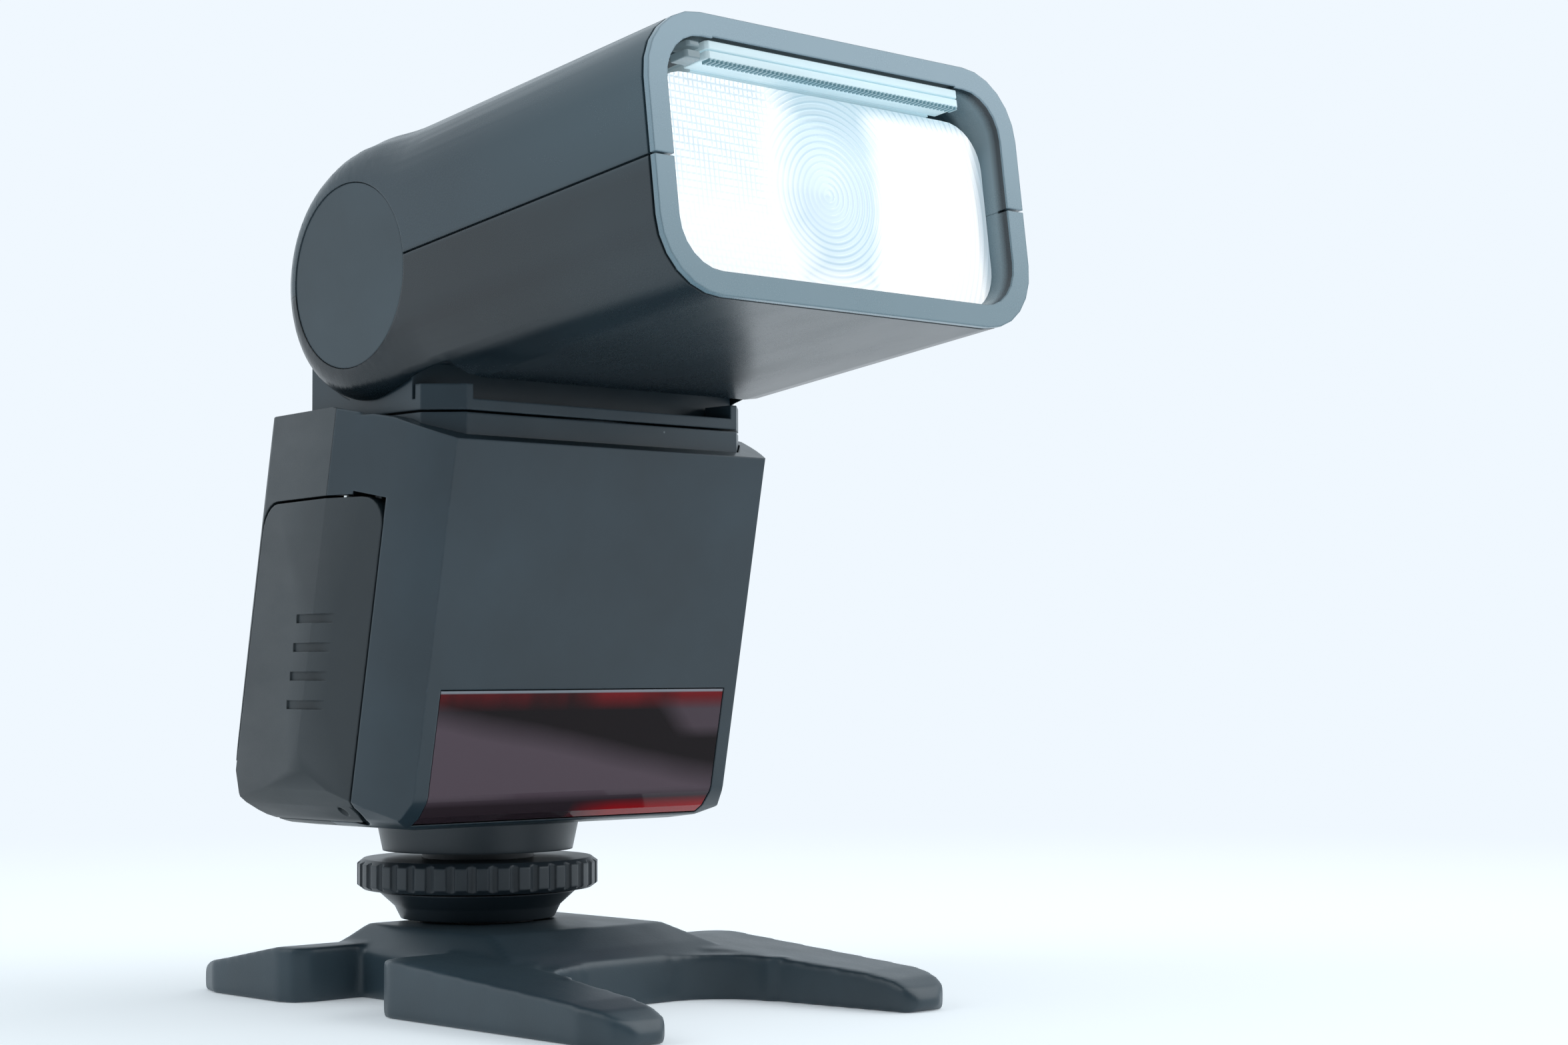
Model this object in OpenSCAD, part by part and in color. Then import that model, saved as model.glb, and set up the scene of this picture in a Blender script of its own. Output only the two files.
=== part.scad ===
// Speedlight flash on its four-legged cold-shoe mini stand.
// Millimetres, +Z up, the flash faces -Y. Origin: mouth of the stand's
// tripod thread, on the floor, under the axis of the knurled lock ring.
// The rest pose has the head tilted up a little above level.

/* [Body] */
// Room from the ends of the cells to the side ridges
side_room = 6.4; // [6:0.1:10]
// Width of the flat front face between its creases
front_w = 50.8; // [44:0.2:56]
// Forward lean of the body in degrees
body_lean = 11.2; // [0:0.1:15]
// Height of the body's underside above the floor
body_z0 = 22.3; // [18:0.1:30]
// Height of the front lip
lip_z = 70.2; // [60:0.1:80]
// Depth position of the front lip
lip_y = -29.3; // [-34:0.1:-24]
// Height of the body's top at the rear
rear_z = 75.0; // [66:0.1:84]
// Depth position of the rear face at its top
rear_y = 8.5; // [4:0.1:14]
// Radius of the rounded bottom side edges
belly_r = 10; // [4:0.5:12]
// Housing wall
wall = 1.8; // [1.2:0.1:2.6]

/* [Sensor window] */
// Window width
win_w = 46.4; // [40:0.2:50]
// Height of the window's top edge above the floor
win_z1 = 39.6; // [34:0.1:46]
// Window thickness
win_t = 1.6; // [1:0.1:2.4]

/* [Battery bay] */
// Cell radius (AA)
cell_r = 7.1; // [7:0.05:7.3]
// Cell length without its nub
cell_l = 49.2; // [48:0.1:50]
// Height of the lower cell's axis
cell_z0 = 38; // [32:0.1:42]
// Spacing of the two cells
cell_pitch = 15.0; // [14.6:0.1:17]
// Height of the door's top edge on the ridge
door_z1 = 63.6; // [56:0.1:68]
// Gap around the door
door_gap = 0.35; // [0.25:0.05:0.6]
// Sliding travel that frees the door
door_travel = 3.0; // [2:0.1:4]

/* [Rear controls] */
// Width of the display window
lcd_w = 32; // [26:0.5:36]
// Height of the display window
lcd_h = 19; // [14:0.5:19]
// Radius of a round key
key_r = 2.5; // [2:0.1:3]
// Spacing of the four keys
key_pitch = 11; // [9:0.5:12]
// Radius of the dial
dial_r = 6.2; // [5:0.1:6.6]
// Radius of the key inside the dial
set_r = 2.8; // [2:0.1:3.4]
// Travel of the power switch
switch_run = 3.4; // [2:0.1:4]

/* [Neck] */
// Width of the neck
neck_w = 52.6; // [40:0.2:54]
// Depth of the neck
neck_d = 28.2; // [24:0.2:32]
// Depth position of the pan axis
pan_y = -12.9; // [-16:0.05:-5]
// Height of the gap between turret and yoke
pan_z = 74.0; // [72:0.05:80]
// Corner chamfer of the turret and yoke
neck_c = 4.0; // [1:0.1:6]

/* [Head] */
// Head width
head_w = 60.1; // [54:0.1:66]
// Distance from the tilt axis to the front
head_len = 58.8; // [50:0.1:66]
// Thickness above the tilt axis
head_up = 17.3; // [14:0.1:20]
// Thickness below the tilt axis, also the rear radius
head_dn = 15.4; // [13:0.1:18]
// Depth position of the tilt axis
tilt_y = -12.9; // [-16:0.05:-8]
// Height of the tilt axis
tilt_z = 91.2; // [88:0.1:96]
// Upward tilt in the rest pose, degrees
tilt_rest = 7.25; // [0:0.1:20]
// Corner radius of the head's section
head_r = 8.5; // [5:0.5:12]
// Head wall
head_wall = 1.9; // [1.4:0.1:2.6]
// Width of the front rim
rim_w = 2.8; // [2.5:0.1:5]
// Depth of the lens below the rim
lens_set = 3.6; // [2:0.1:6]
// Radius of the tilt hub on the yoke
hub_r = 13.2; // [11:0.1:14]
// Radius of the cap over each tilt pin
cap_r = 11.55; // [9:0.05:13]
// Radius of each tilt pin
tpin_r = 4.0; // [3:0.1:5]
// Radial running clearance of pins and shafts
run_clr = 0.05; // [0.02:0.01:0.1]
// Zoom travel of the lamp carriage
zoom_travel = 11; // [6:0.5:14]

/* [Foot] */
// Outer radius of the knurled lock ring
ring_r = 15.93; // [14:0.05:18]
// Underside of the lock ring
ring_z0 = 13.4; // [12:0.1:16]
// Height of the lock ring
ring_h = 4.0; // [3:0.1:6]
// Knurls around the ring
ring_n = 36; // [24:1:48]
// Width of the shoe foot
shoe_w = 18.6; // [18.4:0.05:18.7]
// Length of the shoe foot
shoe_l = 18.0; // [16:0.5:20]
// Thickness of the shoe foot
shoe_t = 2.0; // [1.8:0.05:2.05]
// Lock travel of the clamp plate
lock_travel = 0.75; // [0.5:0.05:1.2]

/* [Stand] */
// Height of the platform
plat_z = 9.2; // [8:0.1:12]
// Half width of the platform top
plat_hx = 14.2; // [12:0.1:18]
// Front edge of the platform top
plat_y0 = -21.2; // [-26:0.1:-16]
// Rear edge of the platform top
plat_y1 = 5.2; // [2:0.1:10]
// Half width over the legs
leg_x = 28.3; // [24:0.1:34]
// Depth position of the front leg tips
leg_y0 = -61.5; // [-66:0.5:-40]
// Depth position of the rear leg tips
leg_y1 = 26; // [20:0.5:50]
// Leg height at the root
leg_h = 7.0; // [5:0.1:9]
// Bore radius of the quarter-inch thread
thr_r = 2.56; // [2.5:0.01:3.2]

/* [Hidden] */
$fn = 48;
e = 0.01;
body_w = cell_l + 2*side_room;
tl = tan(body_lean);
hw = body_w/2;
fw = front_w/2;
zt = 75;                       // height the section is drawn at
fy = lip_y - (zt - lip_z)*tl;  // front face there
ridge_y = -12.0;
ridge_dx = 2.5;
rr = 5;
win_y = lip_y + (lip_z - win_z1)*tl;
sens_y = win_y + win_t + 5.4;  // face of the sensor board
door_pl = 5.6;                 // rear edge of the door at height zt
door_fl = -20.9;               // front edge of the door at height zt
door_t = 1.8;
hinge_in = 2.2;                // depth of the door's hinge under the skin
hinge_back = 2.9;              // and behind the door's front edge
hpin_r = 0.7;
spring_x = cell_l/2 + 1.5;     // plate of a cell spring
key_z = -27.5;                 // rows of the rear controls, down the rear face
dial_x = 4;
dial_z = -37.6;
test_x = -16;
test_z = -34.2;
switch_x = -20;
switch_z = -44.4;
tpin_l = 5.0;
hh = head_w/2;
neck_h = neck_w/2;
cheek = neck_h + 0.35;
slab = 1.4;
foot_z = 5.6;
rail_t = 1.5;
slot_c = 0.1;
stem_r = 7.4;                  // stem the lock ring turns on
stem_z = plat_z + 0.5;
open_w = head_w - 2*rim_w;
open_r = 5.8;                  // corner radius of the lens opening
lens_y = -head_len + lens_set;
rim_line = 0.8;                // fine line behind the front rim
card_w = 39;
card_l = 38;
card_z = 12.0;
card_y = -head_len + 4.6;

// Which sub-part to draw

black = [0.20, 0.23, 0.25];
dark = [0.13, 0.15, 0.17];

// ---------- body section: a plan outline that leans with height ----------
function bez(a, b, c, t) = (1-t)*(1-t)*a + 2*t*(1-t)*b + t*t*c;
// right half of the outline, front to rear, inset by i
function half(i) = concat(
  [for (k = [0:4]) bez([fw - i*0.6, fy + i], [fw + 2.1 - i, fy + 3.8 + i*0.5],
                       [hw - ridge_dx - i, fy + 8.0], k/4)],
  [[hw - i, ridge_y]],
  [for (k = [0:5]) [hw - ridge_dx - rr + (rr - i)*cos(k*18),
                    rear_y + 0.8 - rr + (rr - i)*sin(k*18)]]);
function flip(p) = [for (k = [len(p)-1:-1:0]) [-p[k][0], p[k][1]]];
function ring(i) = concat(half(i), flip(half(i)));
module loft(i, za = 16, zb = 80) {
  r = ring(i); n = len(r);
  pts = concat([for (p = r) [p[0], p[1] + (zt - za)*tl, za]],
               [for (p = r) [p[0], p[1] + (zt - zb)*tl, zb]]);
  polyhedron(pts, concat([[for (k = [0:n-1]) k]], [[for (k = [n-1:-1:0]) n + k]],
    [for (k = [0:n-1]) [k, n + k, n + (k+1)%n, (k+1)%n]]));
}
// side profile (depth, height), inset by i
module side_cut(i) {
  yb = lip_y + (lip_z - 32)*tl;
  rotate([90, 0, 90]) translate([0, 0, -40]) linear_extrude(80)
    polygon(concat(
      [[lip_y + i, lip_z - i*0.9], [lip_y - 1 + i, lip_z - i*0.9]],
      [[yb - 3 + i, 32]],
      [for (k = [0:5]) [yb + 7.2 - (7.2 - i)*cos(k*18), 31 - (31 - body_z0 - i)*sin(k*18)]],
      [for (k = [0:5]) [rear_y - 1.6 + (8.2 - i)*sin(k*18), body_z0 + i + (10.0 - i)*(1 - cos(k*18))]],
      [[rear_y + 6.6 - i, 33], [rear_y + 3.4 - i, 52], [rear_y - i, rear_z - i],
       [-10.6, rear_z - 0.1 - i], [-20.9, rear_z - 1.9 - i]]));
}
module front_cut(i) {
  rotate([90, 0, 0]) translate([0, 0, -60]) linear_extrude(120)
    polygon(concat([[-hw - 1 + i, 90], [hw + 1 - i, 90]],
      [for (k = [0:6]) [hw - belly_r + (belly_r - i)*cos(-k*15), body_z0 + belly_r + (belly_r - i)*sin(-k*15)]],
      [for (k = [0:6]) [-hw + belly_r - (belly_r - i)*sin(k*15), body_z0 + belly_r - (belly_r - i)*cos(k*15)]]));
}
module body_form(i = 0) {
  intersection() { loft(i); side_cut(i); front_cut(i); }
}
// everything behind the leaning plane that meets the section at depth y
module behind(y) {
  translate([0, y, zt]) rotate([body_lean, 0, 0]) translate([-50, 0, -70]) cube([100, 60, 90]);
}
// put children in the leaning frame: origin on the line y at height zt
module leaning(y) { translate([0, y, zt]) rotate([body_lean, 0, 0]) children(); }

door_r = 3.6;
// depth of a leaning line y at height z
function door_line(y, z) = y/cos(body_lean) + (zt - z)*tl;
// door region on the -X side, grown by g
module door_zone(g = 0) {
  intersection() {
    leaning(0) translate([-60, door_fl - g, -80]) cube([60 - hw + 6 + g, door_pl - door_fl + 2*g, 90]);
    translate([-60, -60, 0]) cube([60, 100, door_z1 + g]);
    // inner front edge rounded about the hinge
    difference() {
      translate([-60, -60, 0]) cube([60, 100, 90]);
      hinge_line(-60) difference() {
        translate([-0.8, -9, 0]) cube([9, 9, 90]);
        translate([0, 0, -1]) cylinder(r = 2.5 + g, h = 92);
      }
    }
    // rounded upper corners
    translate([-60, 0, 0]) rotate([90, 0, 90]) linear_extrude(60) polygon(concat(
      [[door_line(door_fl, 0) - g, 0], [door_line(door_pl, 0) + g, 0]],
      [for (k = [0:6]) [door_line(door_pl, door_z1) + g - door_r*(1 - cos(k*15)) + 0.2*door_r*(1 - sin(k*15)), door_z1 + g - door_r*(1 - sin(k*15))]],
      [for (k = [0:6]) [door_line(door_fl, door_z1) - g + door_r*(1 - sin(k*15)) + 0.2*door_r*(1 - cos(k*15)), door_z1 + g - door_r*(1 - cos(k*15))]]));
  }
}
// half width of the side face at depth y, ahead of the ridge
function side_x(y) = hw - ridge_dx*(ridge_y - y)/(ridge_y - fy - 8);
hinge_x = hinge_in - side_x((door_fl + hinge_back)/cos(body_lean));
hinge_top = (door_z1 - zt)/cos(body_lean) - (door_fl + hinge_back)*tl + door_gap;
hinge_lug = -38.4;             // underside of the lower lug along the hinge
hinge_sweep = norm([hinge_in - 0.6, hinge_back]) + 0.12;
module hinge_line(z = 0) { leaning(0) translate([hinge_x, door_fl + hinge_back, z]) children(); }

module front_shell() { color(black) difference() {
  body_form(0);
  body_form(wall);
  behind(ridge_y);
  door_zone(door_gap);
  turret_zone(0.15);
  win_zone(0.15, wall + 0.8);
  foot_bore();
  pan_well();
  // room for the door's front edge as it swings
  hinge_line(hinge_lug - 11) cylinder(r = hinge_sweep, h = hinge_top - hinge_lug + 11);
  hinge_line(hinge_lug) cylinder(r = hpin_r + run_clr, h = 50, $fn = 32);
}
  color(black) hinge_lugs();
}
module rear_shell() { color(black) difference() {
  body_form(0);
  body_form(wall);
  translate([0, 0, 0]) difference() { translate([-60, -60, 0]) cube([120, 90, 100]); behind(ridge_y + 0.02); }
  door_zone(door_gap);
  turret_zone(0.15);
  foot_bore();
  rear_cuts();
  pan_well();
}}
// two lugs that carry the door's hinge pin: one above the door, one on a swan neck behind it
module hinge_lugs() {
  difference() {
    intersection() {
      body_form(0.3);
      union() {
        hinge_line(hinge_top) cylinder(r = hpin_r + 1, h = door_travel + 1.1);
        hinge_line(hinge_lug) {
          cylinder(r = hpin_r + 0.5, h = 2.5);
          translate([0, 0.3, 0]) cube([4.6, 1.2, 2.5]);
          difference() {
            linear_extrude(2.5) polygon([[3.2, 1.5], [4.6, 1.5], [4.6, -4.5], [1.8, -7.5],
              [-3, -7.5], [-3, -5], [1, -5]]);
            translate([0, 0, -1]) cylinder(r = hinge_sweep + 0.25, h = 5);
          }
        }
      }
    }
    hinge_line(-60) cylinder(r = hpin_r + run_clr, h = 60, $fn = 32);
  }
}
// round clearance under the turning yoke
module pan_well() { translate([0, pan_y, pan_z - 0.35]) cylinder(r = 30.1, h = 20, $fn = 96); }
module foot_bore() {
  translate([0, 0, body_z0 - 4]) cylinder(r = 9.5, h = 12);
}
// the window: a slab of the front face, inset from the creases
module win_zone(g, t) {
  intersection() {
    translate([-win_w/2 - g, -40, body_z0 + 0.9 - g]) cube([win_w + 2*g, 40, win_z1 - body_z0 - 0.9 + 2*g]);
    difference() { body_form(-0.02); body_form(t); }
    translate([-40, -40, 0]) cube([80, 28, 90]);
  }
}
module sensor_window() { color([0.25, 0.04, 0.06, 0.8])
  intersection() {
    translate([-win_w/2, -40, body_z0 + 0.9]) cube([win_w, 40, win_z1 - body_z0 - 0.9]);
    difference() { body_form(0.08); body_form(win_t); }
    translate([-40, -40, 0]) cube([80, 28, 90]);
  }
}
module assist_lamp() { color([0.8, 0.3, 0.25, 0.6])
  translate([-11, sens_y, 32.5]) rotate([90, 0, 0]) { cylinder(r = 3.4, h = 1.8); translate([0, 0, 1.7]) cylinder(r = 2.4, h = 1.5); }
}
module sensor_board() { color([0.1, 0.3, 0.2])
  translate([-18, sens_y, 28.5]) cube([36, 1.2, 9.5]);
}

// ---------- battery bay ----------
module battery_door() { color(black) {
  difference() {
    union() {
      intersection() {
        difference() { body_form(0); body_form(door_t); }
        door_zone(0);
      }
      // hinge knuckle above the lower lug
      hinge_line(hinge_lug + 2.8 + door_travel) cylinder(r = 1.5, h = 22, $fn = 32);
    }
    hinge_line(-60) cylinder(r = hpin_r + run_clr, h = 60, $fn = 32);
    // room for the lower lug over the door's travel
    hinge_line(hinge_lug - 0.3) cylinder(r = hpin_r + 0.8, h = 2.8 + 0.3 + door_travel, $fn = 32);
    // four recessed grips
    for (k = [0:3]) translate([-40, door_line(door_fl, 38 + k*3.6) + 2.8, 37.4 + k*3.6]) cube([9.9, 11, 1.1]);
  }
}}
module door_hinge_pin() { color([0.7, 0.72, 0.74])
  hinge_line(hinge_lug + 0.2) cylinder(r = hpin_r, h = hinge_top + door_travel + 0.8 - hinge_lug - 0.2, $fn = 32);
}
module door_contact() { color([0.78, 0.72, 0.5])
  intersection() {
    difference() { body_form(door_t); body_form(door_t + 0.5); }
    leaning(0) translate([-hw - 1, -9.8, -46]) cube([6, 12, 31]);
  }
  // raised pads that meet the cell ends
  intersection() {
    body_form(door_t + 0.3);
    for (k = [0, 1]) translate([-hw, cell_y(cell_z0 + k*cell_pitch), cell_z0 + k*cell_pitch]) rotate([0, 90, 0])
      cylinder(r = 3, h = side_room - 0.3 - k*1.0);
  }
}
cell_z1 = cell_z0 + cell_pitch;
cradle_x = cell_l/2 - 2.2;
cradle_r = cell_r + 1.5;
function cell_y(z) = (zt - z)*tl - 7.6;
module cell(z, s) {
  translate([0, cell_y(z), z]) rotate([0, s*90, 0]) {
    translate([0, 0, -cell_l/2]) cylinder(r = cell_r, h = cell_l);
    translate([0, 0, cell_l/2]) cylinder(r = 2.7, h = 1.0);
  }
}
module cell_lower() { color([0.75, 0.76, 0.78]) cell(cell_z0, 1); }
module cell_upper() { color([0.75, 0.76, 0.78]) cell(cell_z0 + cell_pitch, -1); }
module battery_cradle() { color(dark) difference() {
  translate([-cradle_x, 0, 0]) rotate([90, 0, 90]) linear_extrude(2*cradle_x) polygon([
    [cell_y(cell_z0) - cradle_r, cell_z0 - cradle_r - 0.2], [cell_y(cell_z0) + cradle_r, cell_z0 - cradle_r - 0.2],
    [cell_y(cell_z1) + cradle_r, cell_z1 + cradle_r - 0.2], [cell_y(cell_z1) - cradle_r, cell_z1 + cradle_r - 0.2]]);
  for (z = [cell_z0, cell_z1]) translate([-40, cell_y(z), z]) rotate([0, 90, 0]) cylinder(r = cell_r + 0.3, h = 80);
  // finger relief towards the door
  translate([-cradle_x - 16, cell_y(cell_z0) - 5, cell_z0]) cube([24, 8, cell_pitch]);
}}
module cell_spring(k) { color([0.72, 0.73, 0.75])
  translate([spring_x, cell_y(cell_z0 + k*cell_pitch), cell_z0 + k*cell_pitch]) rotate([0, 90, 0]) {
    cylinder(r = cell_r - 1.9, h = 0.4);
    difference() {
      cylinder(r = 3.4, h = hw - wall - 1.5 - spring_x);
      translate([0, 0, -1]) cylinder(r = 2.4, h = 12);
    }
  }
}
module cell_spring_lower() { cell_spring(0); }
module cell_spring_upper() { cell_spring(1); }
module main_board() { color([0.1, 0.3, 0.2])
  leaning(fy + wall + 0.6) translate([-23, 0, -33]) cube([46, 1.4, 23]);
}
module capacitor() { color([0.12, 0.12, 0.14])
  translate([-21, -16.9, 56.6]) rotate([0, 90, 0]) cylinder(r = 5.0, h = 27);
}
module transformer() { color([0.75, 0.6, 0.25])
  translate([8.5, -20.6, 53.2]) cube([11, 8, 7.6]);
}

// ---------- rear controls ----------
// rear face frame: origin on the rear face's upper edge, z down the face
rear_a = atan(3.4/(rear_z - 52));
module on_rear() { translate([0, rear_y, rear_z]) rotate([rear_a, 0, 0]) children(); }
module rear_round(x, z, r, h0, h1) { on_rear() translate([x, 0, z]) rotate([-90, 0, 0]) translate([0, 0, h0]) cylinder(r = r, h = h1 - h0); }
module rear_cuts() {
  on_rear() translate([-lcd_w/2 - 0.15, -4, -4.0 - lcd_h - 0.15]) cube([lcd_w + 0.3, 10, lcd_h + 0.3]);
  for (k = [0:3]) rear_round(key_x(k), key_z, key_r + 0.15, -4, 3);
  rear_round(dial_x, dial_z, dial_r + 0.2, -4, 3);
  rear_round(test_x, test_z, key_r + 0.15, -4, 3);
  on_rear() translate([switch_x - 0.2, -4, switch_z - 0.2]) cube([6.4 + switch_run + 0.6, 8, 4.2]);
}
module lcd_window() { color([0.55, 0.6, 0.6, 0.5]) on_rear() translate([-lcd_w/2, -1.3, -4.0 - lcd_h]) cube([lcd_w, 1.2, lcd_h]); }
module lcd_module() { color([0.35, 0.4, 0.36]) on_rear() translate([-lcd_w/2 + 0.5, -3.2, -3.5 - lcd_h]) cube([lcd_w - 1, 1.6, lcd_h - 1]); }
module key_board() { color([0.1, 0.3, 0.2]) on_rear() translate([-22, -4.9, -44]) cube([44, 1.2, 20]); }
module key(x, z, r) { rear_round(x, z, r, -2.6, 0.7); rear_round(x, z, r + 0.7, -3.2, -2.4); }
function key_x(k) = (k - 1.5)*key_pitch;
module button_1() { color(dark) key(key_x(0), key_z, key_r); }
module button_2() { color(dark) key(key_x(1), key_z, key_r); }
module button_3() { color(dark) key(key_x(2), key_z, key_r); }
module button_4() { color(dark) key(key_x(3), key_z, key_r); }
module test_button() { color([0.75, 0.3, 0.25]) key(test_x, test_z, key_r); }
module dial_ring() { color(dark) difference() {
  rear_round(dial_x, dial_z, dial_r, -2.6, 1.3);
  rear_round(dial_x, dial_z, set_r + 0.2, -4, 3);
}}
module set_button() { color(dark) rear_round(dial_x, dial_z, set_r, -2.9, 1.0); }
module power_switch() { color(dark) on_rear() {
  translate([switch_x, -2.6, switch_z]) cube([6.4, 2.8, 3.8]);
  translate([switch_x + 2.4, 0.1, switch_z + 0.6]) cube([1.6, 0.8, 2.6]);
}}

// ---------- neck ----------
module chamfered(w, d, c, h) {
  b = 0.8;
  linear_extrude(h) polygon([[-w/2 + c, -d/2], [w/2 - c, -d/2], [w/2, -d/2 + c], [w/2, d/2 - b],
    [w/2 - b, d/2], [-w/2 + b, d/2], [-w/2, d/2 - b], [-w/2, -d/2 + c]]);
}
module turret_zone(g) { translate([0, pan_y, 69 - g]) chamfered(neck_w + 2*g, neck_d + 2*g, neck_c, 20); }
module turret() { color(black) difference() {
  union() {
    translate([0, pan_y, 69.0]) chamfered(neck_w, neck_d, neck_c, pan_z - 0.3 - 69.0);
    translate([0, pan_y, 66.2]) cylinder(r = 12, h = 4);
  }
  translate([0, pan_y, pan_z - 2.5]) cylinder(r = 13.2, h = 5);
  translate([0, pan_y, 60]) cylinder(r = 7.0 + run_clr, h = 20);
}}
module yoke() { color(black) {
  difference() {
    union() {
      difference() {
        union() {
          translate([0, pan_y, pan_z]) chamfered(neck_w, neck_d, neck_c, slab);
          // rear wall and front ears
          intersection() {
            translate([0, pan_y, pan_z]) chamfered(neck_w, neck_d, neck_c, 9.6);
            union() {
              translate([-neck_h, pan_y + 3, pan_z]) cube([neck_w, 20, 9.6]);
              for (s = [-1, 1]) translate([s > 0 ? neck_h - 5 : -neck_h, pan_y - 16, pan_z]) cube([5, 7, 3.2]);
            }
          }
        }
        // sweep of the head's shell
        translate([-neck_h - 1, tilt_y, tilt_z]) rotate([0, 90, 0]) cylinder(r = head_dn + 0.3, h = neck_w + 2, $fn = 96);
      }
      // stalk
      translate([-neck_h, tilt_y - 8.4, pan_z + 0.5]) cube([neck_w, 13.2, 6.5]);
      translate([-neck_h, tilt_y, tilt_z]) rotate([0, 90, 0]) cylinder(r = hub_r, h = neck_w, $fn = 96);
      // turntable and spigot
      translate([0, pan_y, pan_z - 2.1]) cylinder(r = 12.9, h = 2.2);
      translate([0, pan_y, 62.4]) cylinder(r = 7.0, h = pan_z - 62.4);
    }
    // cable way
    translate([0, pan_y, 60]) cylinder(r = 4.2, h = tilt_z - 66);
    translate([-16, tilt_y, tilt_z]) rotate([0, 90, 0]) cylinder(r = 9.5, h = 32);
    translate([-12, tilt_y - 22, tilt_z + 1]) cube([24, 22, 7]);
    // tilt pin bores
    for (s = [-1, 1]) translate([s*(neck_h - tpin_l/2 + 0.2), tilt_y, tilt_z]) rotate([0, 90, 0])
      cylinder(r = tpin_r + run_clr, h = tpin_l + 0.6, center = true);
  }
}}
module pan_nut() { color([0.7, 0.72, 0.74]) translate([0, pan_y, 62.6]) difference() {
  cylinder(r = 9.6, h = 2.2); translate([0, 0, -1]) cylinder(r = 7.0, h = 5);
}}
module pan_spring() { color([0.78, 0.72, 0.5]) translate([0, pan_y, 64.85]) difference() {
  cylinder(r = 8.8, h = 1.3); translate([0, 0, -1]) cylinder(r = 7.0, h = 4);
}}

// ---------- head: drawn level about the tilt axis ----------
module head_frame() { translate([0, tilt_y, tilt_z]) rotate([-tilt_rest, 0, 0]) children(); }
module head_side(i) {
  t0 = 66;
  translate([-40, 0, 0]) rotate([90, 0, 90]) linear_extrude(80) polygon(concat(
    [[-head_len + (i > 0 ? lens_set + 3 : 0), head_up - i], [-head_len + (i > 0 ? lens_set + 3 : 0), -head_dn + i], [0, -head_dn + i]],
    [for (a = [-84:6:t0]) [(head_dn - i)*cos(a), (head_dn - i)*sin(a)]],
    [for (k = [1:5]) bez([(head_dn - i)*cos(t0), (head_dn - i)*sin(t0)], [-1.0, head_up - i], [-8.2, head_up - i], k/5)]));
}
module head_front(i) {
  w = hh - i; r = head_r - i*0.6;
  rotate([90, 0, 0]) translate([0, 0, -30]) linear_extrude(100) polygon(concat(
    [for (k = [0:6]) [w - r + r*cos(k*15), head_up - i - r + r*sin(k*15)]],
    [for (k = [0:6]) [-w + r - r*sin(k*15), head_up - i - r + r*cos(k*15)]],
    [for (k = [0:6]) [-w + r - r*cos(k*15), -head_dn + i + r - r*sin(k*15)]],
    [for (k = [0:6]) [w - r + r*sin(k*15), -head_dn + i + r - r*cos(k*15)]]));
}
// rounded rear end: a barrel about the tilt axis
module barrel(i) {
  r = head_dn - cap_r;
  rotate([0, 90, 0]) rotate_extrude($fn = 96) polygon(concat([[0, -hh + i]],
    [for (k = [0:6]) [head_dn - i - r + r*sin(k*15), -hh + i + r - r*cos(k*15)]],
    [for (k = [0:6]) [head_dn - i - r + r*cos(k*15), hh - i - r + r*sin(k*15)]], [[0, hh - i]]));
}
module head_form(i) {
  intersection() { head_side(i); head_front(i); union() {
    translate([-50, -70, -50]) cube([100, 70, 100]);
    translate([-50, -e, head_dn*0.8]) cube([100, 6.2, 20]); } }
  barrel(i);
}
module rounded_xz(w, z0, z1, r, y0, y1) {
  translate([0, y1, 0]) rotate([90, 0, 0]) linear_extrude(y1 - y0) polygon(concat(
    [for (k = [0:6]) [w - r + r*cos(k*15), z1 - r + r*sin(k*15)]],
    [for (k = [0:6]) [-w + r - r*sin(k*15), z1 - r + r*cos(k*15)]],
    [for (k = [0:6]) [-w + r - r*cos(k*15), z0 + r - r*sin(k*15)]],
    [for (k = [0:6]) [w - r + r*sin(k*15), z0 + r - r*cos(k*15)]]));
}
module head_cuts() {
  // lens opening
  rounded_xz(open_w/2, -head_dn + rim_w, head_up - rim_w, open_r, -head_len - 5, -head_len + lens_set + 4);
  // slot of the panel and card
  translate([-card_w/2 - 0.4, -head_len - 1, card_z - 0.25]) cube([card_w + 0.8, card_l + 7, 2.95]);
  // room around the yoke's hub
  translate([-cheek, 0, 0]) rotate([0, 90, 0]) cylinder(r = hub_r + 0.4, h = 2*cheek, $fn = 96);
  // opening the neck sweeps through
  translate([-cheek, 0, 0]) rotate([90, 0, 90]) linear_extrude(2*cheek)
    polygon([[0, 0], [40*cos(24), 40*sin(24)], [40, -40], [-40*cos(48), -40*sin(48)]]);
  translate([-cheek, -14.7, -head_dn - 2]) cube([2*cheek, 15, 3.9]);
  // seats of the caps and tilt pins
  for (s = [-1, 1]) {
    translate([s*hh, 0, 0]) rotate([0, 90, 0]) cylinder(r = cap_r + 0.1, h = 2.4, center = true, $fn = 96);
    translate([s*(hh - 3), 0, 0]) rotate([0, 90, 0]) cylinder(r = tpin_r, h = 8, center = true);
  }
}
module cheeks() {
  intersection() { head_form(0.2); for (s = [-1, 1]) translate([s > 0 ? cheek : -hh + 0.3, -15.2, -20]) cube([hh - 0.3 - cheek, 40, 40]); }
}
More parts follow.
